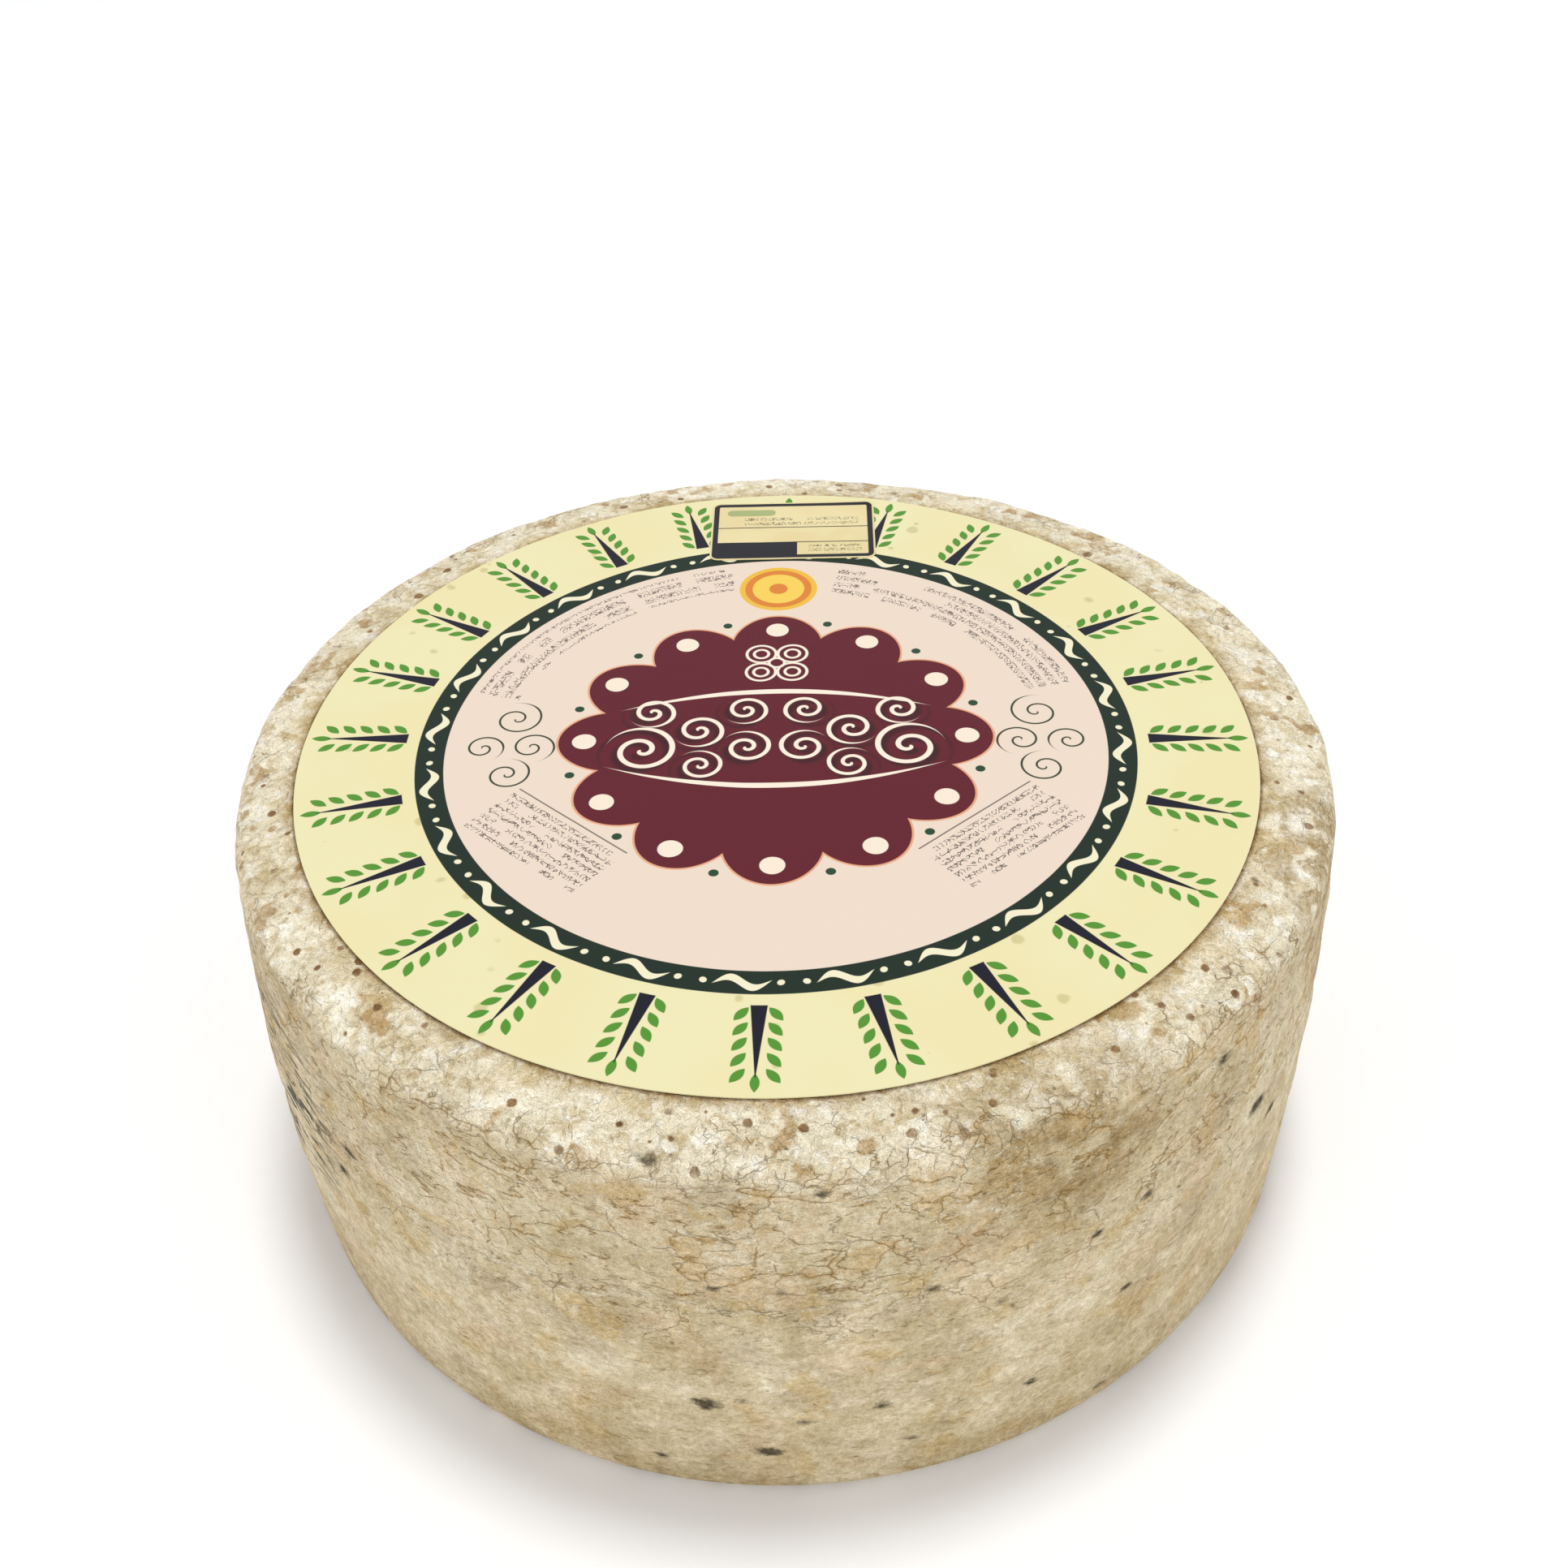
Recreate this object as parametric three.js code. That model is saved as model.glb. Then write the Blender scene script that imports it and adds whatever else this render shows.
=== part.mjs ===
// A whole wheel of hard ewe's milk cheese, with the round paper label that lies on its top face
// and the small grade sticker at the label's rim.
// Millimetres, +Z up. The origin is the middle of the underside, and the sticker is towards +Y.

import * as THREE from 'three';

// The cheese.
const WHEEL_RADIUS = 108; // at the widest height of the side
const WHEEL_HEIGHT = 90; // up to the flat of the top face
const WIDEST_HEIGHT = 42; // the side bellies out a little below its middle
const SIDE_CURVE_RADIUS = 530; // the side is a shallow arc from edge to edge
const BASE_EDGE_RADIUS = 5;
const TOP_EDGE_RADIUS = 5;
const TOP_FLAT_RADIUS = 94.5; // beyond this the top face falls away to its edge
const SHOULDER_SLOPE = THREE.MathUtils.degToRad(10);

// The paper label and the sticker, both lying flat. Thicknesses are whole quarters of a millimetre,
// so that the faces that touch share exactly the same height.
const LABEL_RADIUS = 92.5;
const LABEL_THICKNESS = 0.25;
const LABEL_OFFSET = new THREE.Vector2(-1, -0.5); // laid on by hand, so a little off centre
const STICKER_WIDTH = 37;
const STICKER_DEPTH = 24;
const STICKER_CORNER_RADIUS = 2;
const STICKER_THICKNESS = 0.25;
const STICKER_RIM_GAP = 1; // from the sticker's outer edge to the label's rim
const STICKER_SIDE_SHIFT = 3;

// How finely the round shapes are divided.
const TURN_STEPS = 96;
const EDGE_STEPS = 6;
const SIDE_STEPS = 12;
const STICKER_CORNER_STEPS = 6;

const CHEESE = { name: 'rind', color: 0xc9bc97, roughness: 0.75, metalness: 0 };
const LABEL = { name: 'label_paper', color: 0xece6b4, roughness: 0.65, metalness: 0 };
const STICKER = { name: 'sticker_paper', color: 0xe4dcb0, roughness: 0.5, metalness: 0 };

const group = new THREE.Group();
group.add(cheeseWheel(), paperLabel(), gradeSticker());

// The cheese is one piece: its rind is the dried outside of the paste, not a separate shell.
function cheeseWheel() {
  const geometry = new THREE.LatheGeometry(wheelOutline(), TURN_STEPS);
  geometry.rotateX(Math.PI / 2);
  return solid('cheese_wheel', geometry, CHEESE);
}

// Half of the wheel's section, as (radius, height), from the middle of the base to the middle of the top.
// Each edge is an arc that meets its neighbours without a kink.
function wheelOutline() {
  const sideCentre = new THREE.Vector2(WHEEL_RADIUS - SIDE_CURVE_RADIUS, WIDEST_HEIGHT);

  const baseReach = SIDE_CURVE_RADIUS - BASE_EDGE_RADIUS;
  const baseTurn = -Math.asin((WIDEST_HEIGHT - BASE_EDGE_RADIUS) / baseReach);
  const baseCentre = fromPolar(sideCentre, baseReach, baseTurn);

  // The top edge's arc touches the side and the sloping shoulder, a line through shoulderStart.
  const topReach = SIDE_CURVE_RADIUS - TOP_EDGE_RADIUS;
  const shoulderStart = new THREE.Vector2(TOP_FLAT_RADIUS, WHEEL_HEIGHT);
  const outwards = new THREE.Vector2(Math.sin(SHOULDER_SLOPE), Math.cos(SHOULDER_SLOPE));
  const rise = shoulderStart.clone().sub(sideCentre).dot(outwards) - TOP_EDGE_RADIUS;
  const topTurn = Math.asin(rise / topReach) - SHOULDER_SLOPE;
  const topCentre = fromPolar(sideCentre, topReach, topTurn);

  return [
    new THREE.Vector2(0, 0),
    ...arc(baseCentre, BASE_EDGE_RADIUS, -Math.PI / 2, baseTurn, EDGE_STEPS),
    ...arc(sideCentre, SIDE_CURVE_RADIUS, baseTurn, topTurn, SIDE_STEPS).slice(1),
    ...arc(topCentre, TOP_EDGE_RADIUS, topTurn, Math.PI / 2 - SHOULDER_SLOPE, EDGE_STEPS).slice(1),
    shoulderStart,
    new THREE.Vector2(0, WHEEL_HEIGHT),
  ];
}

// The printed paper disc.
function paperLabel() {
  const outline = new THREE.Shape().absarc(0, 0, LABEL_RADIUS, 0, 2 * Math.PI);
  const geometry = sheetOf(outline, LABEL_THICKNESS, TURN_STEPS / 2);
  const label = solid('paper_label', geometry, LABEL);
  label.position.set(LABEL_OFFSET.x, LABEL_OFFSET.y, WHEEL_HEIGHT);
  return label;
}

// The small sticker that gives the grade, stuck on the label.
function gradeSticker() {
  const right = STICKER_WIDTH / 2;
  const top = STICKER_DEPTH / 2;
  const x = right - STICKER_CORNER_RADIUS;
  const y = top - STICKER_CORNER_RADIUS;
  const quarter = Math.PI / 2;
  const outline = new THREE.Shape();
  [[x, y], [-x, y], [-x, -y], [x, -y]].forEach(([cornerX, cornerY], corner) => {
    outline.absarc(cornerX, cornerY, STICKER_CORNER_RADIUS, corner * quarter, (corner + 1) * quarter);
  });
  outline.closePath();
  const geometry = sheetOf(outline, STICKER_THICKNESS, STICKER_CORNER_STEPS);
  const sticker = solid('grade_sticker', geometry, STICKER);
  sticker.position.set(
    LABEL_OFFSET.x + STICKER_SIDE_SHIFT,
    LABEL_OFFSET.y + LABEL_RADIUS - STICKER_RIM_GAP - cornerInset(right, LABEL_RADIUS) - top,
    WHEEL_HEIGHT + LABEL_THICKNESS,
  );
  return sticker;
}

// How far a circle of this radius falls away at halfWidth to either side of its highest point.
function cornerInset(halfWidth, radius) {
  const reach = halfWidth + STICKER_SIDE_SHIFT;
  return radius - Math.sqrt(radius * radius - reach * reach);
}

function sheetOf(outline, thickness, curveSegments) {
  return new THREE.ExtrudeGeometry(outline, { depth: thickness, bevelEnabled: false, curveSegments });
}

function fromPolar(centre, radius, angle) {
  return new THREE.Vector2(centre.x + radius * Math.cos(angle), centre.y + radius * Math.sin(angle));
}

function arc(centre, radius, from, to, steps) {
  const points = [];
  for (let step = 0; step <= steps; step += 1) {
    points.push(fromPolar(centre, radius, from + ((to - from) * step) / steps));
  }
  return points;
}

function solid(name, geometry, look) {
  const mesh = new THREE.Mesh(geometry, new THREE.MeshStandardMaterial(look));
  mesh.name = name;
  return mesh;
}

export default group;
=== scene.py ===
"""A whole wheel of hard ewe's milk cheese, with its round paper label and the grade sticker on that."""

import math
import random

import bmesh
import bpy
from mathutils import Matrix, Vector, noise
from mathutils.kdtree import KDTree


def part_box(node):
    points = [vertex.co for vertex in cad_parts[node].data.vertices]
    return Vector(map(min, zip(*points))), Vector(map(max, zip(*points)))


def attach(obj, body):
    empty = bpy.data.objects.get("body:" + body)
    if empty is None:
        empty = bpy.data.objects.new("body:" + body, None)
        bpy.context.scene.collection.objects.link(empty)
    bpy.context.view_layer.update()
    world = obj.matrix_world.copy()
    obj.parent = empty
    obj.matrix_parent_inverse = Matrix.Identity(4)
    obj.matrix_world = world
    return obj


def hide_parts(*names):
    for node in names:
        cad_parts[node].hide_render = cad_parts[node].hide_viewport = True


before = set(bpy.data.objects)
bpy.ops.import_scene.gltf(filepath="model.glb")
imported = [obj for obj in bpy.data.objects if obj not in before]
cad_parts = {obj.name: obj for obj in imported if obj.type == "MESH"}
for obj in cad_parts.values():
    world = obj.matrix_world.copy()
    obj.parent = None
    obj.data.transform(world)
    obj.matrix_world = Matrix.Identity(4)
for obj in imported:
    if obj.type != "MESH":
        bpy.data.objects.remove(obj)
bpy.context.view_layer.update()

MM = 0.001

# The wheel's driving sizes, in metres, from the frame.
WHEEL_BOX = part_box("cheese_wheel")
WHEEL_RADIUS = WHEEL_BOX[1].x
WHEEL_HEIGHT = WHEEL_BOX[1].z
LABEL_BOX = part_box("paper_label")
LABEL_CENTRE = (LABEL_BOX[0] + LABEL_BOX[1]) / 2
LABEL_RADIUS = (LABEL_BOX[1].x - LABEL_BOX[0].x) / 2
STICKER_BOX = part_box("grade_sticker")

# The wheel's outline.
WIDEST_HEIGHT = 42 * MM
SIDE_CURVE_RADIUS = 530 * MM
BASE_EDGE_RADIUS = 2.5 * MM
TOP_EDGE_RADIUS = 5 * MM
TOP_FLAT_RADIUS = 94.5 * MM
SHOULDER_SLOPE = math.radians(10)

# How finely it is divided: round the axis, in slices that are copied, along the outline, and in rings
# across the flat base, under the label's rim and under the rest of the label.
TURNS = 700
SLICES = 10
PITCH = 0.95 * MM
BASE_RINGS = 14
LABEL_RIM_RINGS = 8
LABEL_RIM_WIDTH = 8 * MM
TOP_RINGS = 6

# The paper's edges are shaded sharp where its faces meet at more than this.
SHARP_ANGLE = math.radians(50)

# Drained in a cloth and turned by hand, the wheel is a little three-cornered seen from above, and
# has dried a little smaller than its full radius.
CORNERS = 3
OUT_OF_ROUND = 0.75 * MM
OUT_OF_ROUND_TURN = math.radians(19)
SHRINKAGE = 0.2 * MM

# How far the rind stands out: in wide swells, in folds along the side, and in fine lumps, which are
# rougher in the crust.
SWELL = 0.45 * MM
FOLD = 0.34 * MM
LUMP = 0.09 * MM
CRUST_LUMP = 0.16 * MM

# The lines that the cheesecloth pressed in the side, as (height, half width, depth) in millimetres.
PRESS_CREASES = [(57, 1.3, 0.42), (50.5, 0.9, 0.16), (61.5, 0.9, 0.12)]

# The top face dips under its highest level by up to twice this.
FACE_DIP = 0.225 * MM

PITS = 150
PIT_SEED = 11

# The paper.
PAPER_THICKNESS = 0.22 * MM
PAPER_GAP = 0.06 * MM
PAPER_TURNS = 400
PAPER_PITCH = 1.4 * MM
STICKER_THICKNESS = 0.16 * MM
STICKER_GAP = 0.03 * MM
STICKER_CORNER = 2 * MM
STICKER_PITCH = 1.5 * MM

# The camera, in wheel radii from the middle of the underside, and in degrees.
CAMERA_STAND = Vector((0.0896, -2.7006, 2.9072))
CAMERA_YAW = -1.82
CAMERA_PITCH = 38.94
CAMERA_ROLL = -1.99
CAMERA_LENS = 43.24

# The round white floor. It lies a hair below the wheel, so that the two faces don't coincide.
FLOOR_RADIUS = 1.25
FLOOR_GAP = 0.1 * MM

# The light: the walls' and the ceiling's brightness, the walls' faintly cool white, and the lamps,
# as (name, place and size in metres, watts).
WALL_GLOW = 1.30
CEILING_GLOW = 0.30
WALL_WHITE = (0.985, 0.995, 1.03, 1.0)
LAMPS = [
    ("top_light", (0.1, 0.32, 3.0), 0.55, 37.8),
    ("left_light", (-1.1, -1.2, 0.8), 0.6, 2.4),
    ("right_light", (1.1, -1.2, 0.8), 0.6, 2.4),
]

# The larger mould spots, as (angle round the wheel in degrees, height and radius in millimetres).
MOULD_SPOTS = [
    (-97, 28.5, 2.9), (-93.5, 30, 1.6), (-88, 23.5, 1.6), (-81, 26, 2.0), (-91.5, 14, 2.6),
    (-78, 14, 1.3), (-37, 54.5, 2.9), (-33, 47, 2.0), (-55.5, 34.5, 1.5), (-54.5, 58, 1.6),
    (-45, 78, 2.2), (-95.5, 61, 1.5), (-76.5, 56, 1.2), (-70, 48, 1.1), (-119, 38.5, 1.6),
    (-135, 58, 2.4), (-137, 50, 1.8), (-141, 55, 1.5), (-101, 89, 3.3), (-86, 83, 1.6),
    (-102, 9, 1.5), (-60, 55, 1.4), (-57, 5.5, 1.6), (-66, 20, 1.4), (-12, 30, 2.2),
    (-2, 68, 1.6), (14, 47, 2.6), (22, 20, 1.6), (35, 60, 1.4), (48, 33, 2.4),
    (63, 72, 1.8), (71, 15, 2.0), (84, 44, 1.5), (97, 62, 2.5), (104, 26, 1.8),
    (121, 50, 1.5), (133, 76, 1.7), (142, 22, 2.6), (158, 41, 1.6), (171, 66, 2.2),
    (-173, 17, 1.8),
]

# The print on the label, in millimetres.
INK_SPREAD = 0.07
SPRIGS = 24
LOBES = 12
BAND_MIDDLE = 67.05
BAND_HALF = 2.75
LEAVES_START = 72.5
LEAF_STEP = 3.4
PRINT_BLACK = "#2A2622"

# Spirals as (middle, reach, gap between turns, half the stroke), mirrored to the other half of the label.
CREAM_SCROLLS = [
    ((26.0, -3.0), 7.2, 4.0, 0.55), ((15.0, 3.0), 5.2, -3.0, 0.45), ((14.5, -8.0), 4.6, 2.7, 0.40),
    ((5.6, -2.5), 5.0, 2.9, 0.45), ((24.5, 9.0), 4.8, -2.8, 0.45), ((6.0, 9.5), 4.6, -2.7, 0.42),
]
GREEN_SCROLLS = [
    ((51.5, 7.5), 5.4, 3.2, 0.22), ((57.0, -1.8), 4.2, -2.7, 0.22), ((47.6, -1.6), 4.8, -3.0, 0.22),
    ((51.5, -10.0), 4.8, 2.9, 0.22),
]


def linear(hex_colour):
    """An sRGB hex colour as the linear colour that shader nodes take."""
    channels = [int(hex_colour[at:at + 2], 16) / 255 for at in (1, 3, 5)]
    return [c / 12.92 if c <= 0.04045 else ((c + 0.055) / 1.055) ** 2.4 for c in channels] + [1.0]


def add(tree, kind, inputs, **settings):
    """Adds a node with its settings, fills its inputs with values or links, and returns its outputs."""
    node = tree.nodes.new("ShaderNode" + kind)
    for name, value in settings.items():
        setattr(node, name, value)
    for key, value in inputs.items() if isinstance(inputs, dict) else enumerate(inputs):
        if isinstance(value, bpy.types.NodeSocket):
            tree.links.new(value, node.inputs[key])
        else:
            node.inputs[key].default_value = value
    return node.outputs


def smoothstep(start, end, value):
    """0 up to start, 1 from end on, and a smooth rise between them."""
    share = min(max((value - start) / (end - start), 0.0), 1.0)
    return share * share * (3 - 2 * share)


# ---------------------------------------------------------------- shapes

def arc(centre, radius, start, end, steps):
    """Points along an arc in the (radius, height) plane, both ends included."""
    turns = [start + (end - start) * step / steps for step in range(steps + 1)]
    return [(centre[0] + radius * math.cos(turn), centre[1] + radius * math.sin(turn)) for turn in turns]


def line(start, end, steps):
    """Points along a straight stretch, without its ends."""
    shares = [step / steps for step in range(1, steps)]
    across, up = end[0] - start[0], end[1] - start[1]
    return [(start[0] + across * share, start[1] + up * share) for share in shares]


def wheel_outline():
    """Half of the wheel's section, from the middle of the base, up the side, to the middle of the top."""
    side = (WHEEL_RADIUS - SIDE_CURVE_RADIUS, WIDEST_HEIGHT)
    base_reach = SIDE_CURVE_RADIUS - BASE_EDGE_RADIUS
    base_turn = -math.asin((WIDEST_HEIGHT - BASE_EDGE_RADIUS) / base_reach)
    base = (side[0] + base_reach * math.cos(base_turn), BASE_EDGE_RADIUS)
    top_reach = SIDE_CURVE_RADIUS - TOP_EDGE_RADIUS
    rise = ((TOP_FLAT_RADIUS - side[0]) * math.sin(SHOULDER_SLOPE)
            + (WHEEL_HEIGHT - side[1]) * math.cos(SHOULDER_SLOPE) - TOP_EDGE_RADIUS)
    top_turn = math.asin(rise / top_reach) - SHOULDER_SLOPE
    top = (side[0] + top_reach * math.cos(top_turn), side[1] + top_reach * math.sin(top_turn))
    side_steps = round(SIDE_CURVE_RADIUS * (top_turn - base_turn) / PITCH)
    edge_steps = round(TOP_EDGE_RADIUS * math.pi / 2 / PITCH)
    shoulder = (TOP_FLAT_RADIUS, WHEEL_HEIGHT)

    base_arc = arc(base, BASE_EDGE_RADIUS, -math.pi / 2, base_turn, edge_steps)
    side_arc = arc(side, SIDE_CURVE_RADIUS, base_turn, top_turn, side_steps)
    top_arc = arc(top, TOP_EDGE_RADIUS, top_turn, math.pi / 2 - SHOULDER_SLOPE, edge_steps)
    shoulder_steps = round((top_arc[-1][0] - TOP_FLAT_RADIUS) / PITCH)
    base_middle = (0.0, 0.0)
    top_middle = (0.0, WHEEL_HEIGHT)
    under_label = (TOP_FLAT_RADIUS - LABEL_RIM_WIDTH, WHEEL_HEIGHT)
    return [
        base_middle, *line(base_middle, base_arc[0], BASE_RINGS), *base_arc, *side_arc[1:], *top_arc[1:],
        *line(top_arc[-1], shoulder, shoulder_steps), shoulder,
        *line(shoulder, under_label, LABEL_RIM_RINGS),
        *line(under_label, top_middle, TOP_RINGS), top_middle,
    ]


def spin_outline(outline, turns):
    """A closed body of revolution about the Z axis. One slice is spun finely, then copied round."""
    body = bmesh.new()
    points = [body.verts.new((radius, 0.0, height)) for radius, height in outline]
    edges = [body.edges.new(pair) for pair in zip(points, points[1:])]
    slice_angle = 2 * math.pi / SLICES
    spin = {"axis": (0, 0, 1), "cent": (0, 0, 0)}
    bmesh.ops.spin(body, geom=points + edges, angle=slice_angle, steps=turns // SLICES, **spin)
    whole_slice = body.verts[:] + body.edges[:] + body.faces[:]
    rest = 2 * math.pi - slice_angle
    bmesh.ops.spin(body, geom=whole_slice, angle=rest, steps=SLICES - 1, use_duplicate=True, **spin)
    bmesh.ops.remove_doubles(body, verts=body.verts, dist=0.01 * MM)
    bmesh.ops.recalc_face_normals(body, faces=body.faces)
    body.normal_update()
    return body


def face_height(x, y):
    """How far the top face lies under its highest level: it dips by a fraction of a millimetre."""
    swell = noise.noise(Vector((x, y, 0)) / (55 * MM))
    return FACE_DIP * (swell - 1)


def label_reach(x, y):
    """How far outside the label's rim a point is."""
    return math.hypot(x - LABEL_CENTRE.x, y - LABEL_CENTRE.y) - LABEL_RADIUS


def finish_piece(body, name, material, node):
    """Makes the mesh an object that stands for its CAD node."""
    mesh = bpy.data.meshes.new(name)
    body.to_mesh(mesh)
    body.free()
    mesh.materials.append(material)
    mesh.shade_smooth()
    piece = bpy.data.objects.new(name, mesh)
    bpy.context.scene.collection.objects.link(piece)
    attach(piece, "root")
    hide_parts(node)
    return piece


def rind_relief(place, crust):
    """How far the rind stands out of its smooth outline."""
    along = Vector((place.x, place.y, 2.4 * place.z))
    less_along = Vector((place.x, place.y, 1.6 * place.z))
    swell = noise.fractal(place / (70 * MM), 1.0, 2.0, 2)
    folds = noise.fractal(along / (17 * MM), 1.0, 2.0, 3)
    lumps = noise.fractal(less_along / (4.5 * MM), 0.8, 2.0, 2)
    return SWELL * swell + FOLD * folds + (LUMP + CRUST_LUMP * crust) * lumps


def press_creases(place):
    """The shallow lines that the cheesecloth's edge pressed round the front of the side."""
    angle = math.degrees(math.atan2(place.y, place.x))
    here = smoothstep(-158, -135, angle) * (1 - smoothstep(-72, -50, angle))
    depth = 0.0
    for height, half_width, deep in PRESS_CREASES:
        wander = 1.6 * noise.noise(Vector((angle / 14, height, 0)))
        off_line = (place.z / MM - height - wander) / half_width
        depth += deep * math.exp(-(off_line ** 2))
    return -MM * here * depth


def out_of_round(place):
    """How the side stands out or in because the wheel isn't quite round. Nothing moves under the label."""
    outwards = Vector((place.x, place.y, 0)) / WHEEL_RADIUS
    turn = math.atan2(place.y, place.x) - OUT_OF_ROUND_TURN
    corner = OUT_OF_ROUND * math.cos(CORNERS * turn) - SHRINKAGE
    return outwards * corner * smoothstep(0.86, 0.97, outwards.length)


def sink_pits(body):
    """Presses the small pits that dry mould leaves, scattered over the side and the shoulder."""
    draw = random.Random(PIT_SEED)
    tree = KDTree(len(body.verts))
    for index, vert in enumerate(body.verts):
        tree.insert(vert.co, index)
    tree.balance()
    body.verts.ensure_lookup_table()
    for _ in range(PITS):
        turn = draw.uniform(0, 2 * math.pi)
        height = WHEEL_HEIGHT * draw.uniform(0.08, 1.0)
        reach = WHEEL_RADIUS - (draw.uniform(1, 10) * MM if height > 0.95 * WHEEL_HEIGHT else 1.5 * MM)
        middle, _, _ = tree.find((reach * math.cos(turn), reach * math.sin(turn), height))
        size = draw.uniform(1.2, 2.6) * MM
        deep = draw.uniform(0.25, 0.55) * MM
        for _, index, distance in tree.find_range(middle, size):
            vert = body.verts[index]
            vert.co -= vert.normal * deep * (1 - smoothstep(0.2 * size, size, distance))


def shape_wheel(body):
    """Gives the smooth wheel its hand-made unevenness. The underside stays flat and the top face level."""
    for vert in body.verts:
        place = vert.co.copy()
        outside_label = smoothstep(-0.5 * MM, 3 * MM, label_reach(place.x, place.y))
        crust = smoothstep(0.9 * WHEEL_HEIGHT, 0.97 * WHEEL_HEIGHT, place.z)
        off_base = smoothstep(0.5 * MM, 9 * MM, place.z)
        relief = rind_relief(place, crust) * outside_label + press_creases(place)
        vert.co += vert.normal * relief * off_base
        vert.co += out_of_round(place)
        if place.z > 0.98 * WHEEL_HEIGHT:
            vert.co.z += face_height(place.x, place.y)
        if place.z < 0.1 * MM:
            vert.co.z = 0.12 * MM * max(0.0, noise.noise(place / (9 * MM)))


def build_wheel():
    """The cheese: one solid, whose rind is its own dried outside."""
    body = spin_outline(wheel_outline(), TURNS)
    shape_wheel(body)
    body.normal_update()
    sink_pits(body)
    finish_piece(body, "natural_rind_wheel", natural_rind(), "cheese_wheel")


def paper_height(x, y):
    """How the paper lies on the cheese: it follows the face, cockles a little and lifts along its rim."""
    cockle = 0.07 * noise.fractal(Vector((x, y, 7 * MM)) / (16 * MM), 1.0, 2.0, 2)
    turn = math.atan2(y - LABEL_CENTRE.y, x - LABEL_CENTRE.x)
    round_rim = Vector((2.2 * math.cos(turn), 2.2 * math.sin(turn), 3))
    lift = 0.5 * max(0.0, noise.noise(round_rim)) + 0.05
    rim = smoothstep(-5 * MM, 0.0, label_reach(x, y))
    return face_height(x, y) + MM * (abs(cockle) + rim * lift)


def build_label():
    """The round printed paper, lying on the top face."""
    under = WHEEL_HEIGHT + PAPER_GAP
    over = under + PAPER_THICKNESS
    centre, rim = (0.0, under), (LABEL_RADIUS, under)
    outline = [centre, *line(centre, rim, round(LABEL_RADIUS / PAPER_PITCH)), rim]
    outline += [(radius, over) for radius, _ in reversed(outline)]
    body = spin_outline(outline, PAPER_TURNS)
    bmesh.ops.translate(body, verts=body.verts, vec=(LABEL_CENTRE.x, LABEL_CENTRE.y, 0))
    for vert in body.verts:
        vert.co.z += paper_height(vert.co.x, vert.co.y)
    label = finish_piece(body, "printed_label", printed_paper(), "paper_label")
    label.data.set_sharp_from_angle(angle=SHARP_ANGLE)


def cut_in_squares(body, low, high):
    """Cuts the flat face on a grid, so that it can follow the paper under it."""
    for axis in (0, 1):
        across = Vector((1.0, 0.0, 0.0)) if axis == 0 else Vector((0.0, 1.0, 0.0))
        size = high[axis] - low[axis]
        cuts = round(size / STICKER_PITCH)
        for cut in range(1, cuts):
            where = across * (low[axis] + size * cut / cuts)
            whole = body.verts[:] + body.edges[:] + body.faces[:]
            bmesh.ops.bisect_plane(body, geom=whole, plane_co=where, plane_no=across)


def build_sticker():
    """The small sticker with rounded corners, lying on the label and following it."""
    low, high = STICKER_BOX
    under = WHEEL_HEIGHT + PAPER_GAP + PAPER_THICKNESS + STICKER_GAP
    body = bmesh.new()
    corners = [(low.x, low.y), (high.x, low.y), (high.x, high.y), (low.x, high.y)]
    face = body.faces.new([body.verts.new((x, y, under)) for x, y in corners])
    bmesh.ops.bevel(
        body, geom=face.verts[:], affect="VERTICES", offset=STICKER_CORNER, segments=8,
        profile=0.5, material=-1,
    )
    cut_in_squares(body, low, high)
    walls = bmesh.ops.extrude_face_region(body, geom=body.faces[:])
    raised = [item for item in walls["geom"] if isinstance(item, bmesh.types.BMVert)]
    bmesh.ops.translate(body, verts=raised, vec=(0, 0, STICKER_THICKNESS))
    bmesh.ops.recalc_face_normals(body, faces=body.faces)
    for vert in body.verts:
        vert.co.z += paper_height(vert.co.x, vert.co.y)
    sticker = finish_piece(body, "grade_sticker_blank", sticker_paper(), "grade_sticker")
    sticker.data.set_sharp_from_angle(angle=SHARP_ANGLE)


# ---------------------------------------------------------------- the rind's material

def new_material(name):
    """A material with only a shader and its output, as (material, node tree, shader)."""
    material = bpy.data.materials.new(name)
    material.use_nodes = True
    tree = material.node_tree
    tree.nodes.clear()
    shader = tree.nodes.new("ShaderNodeBsdfPrincipled")
    output = tree.nodes.new("ShaderNodeOutputMaterial")
    tree.links.new(shader.outputs[0], output.inputs[0])
    return material, tree, shader


def place_in_mm(tree, stretch=(1, 1, 1)):
    """Object coordinates in millimetres, squeezed on some axes so that patterns stretch on the others."""
    place = add(tree, "TexCoord", ())["Object"]
    scale = [axis / MM for axis in stretch]
    return add(tree, "VectorMath", (place, scale), operation="MULTIPLY")[0]


def beyond(tree, value, middle, half):
    """How far a value is past the stretch from middle by half to either side, negative inside it."""
    off_middle = add(tree, "Math", (value, middle), operation="SUBTRACT")[0]
    away = add(tree, "Math", (off_middle,), operation="ABSOLUTE")[0]
    return add(tree, "Math", (away, half), operation="SUBTRACT")[0]


def clouds(tree, place, size, start, full, detail=2.0):
    """Soft patches about size across: 0 where the noise is at start, 1 where it is at full."""
    haze = add(tree, "TexNoise", {"Vector": place, "Scale": 1 / size, "Detail": detail})[0]
    return add(tree, "MapRange", (haze, start, full), interpolation_type="SMOOTHSTEP")[0]


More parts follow.
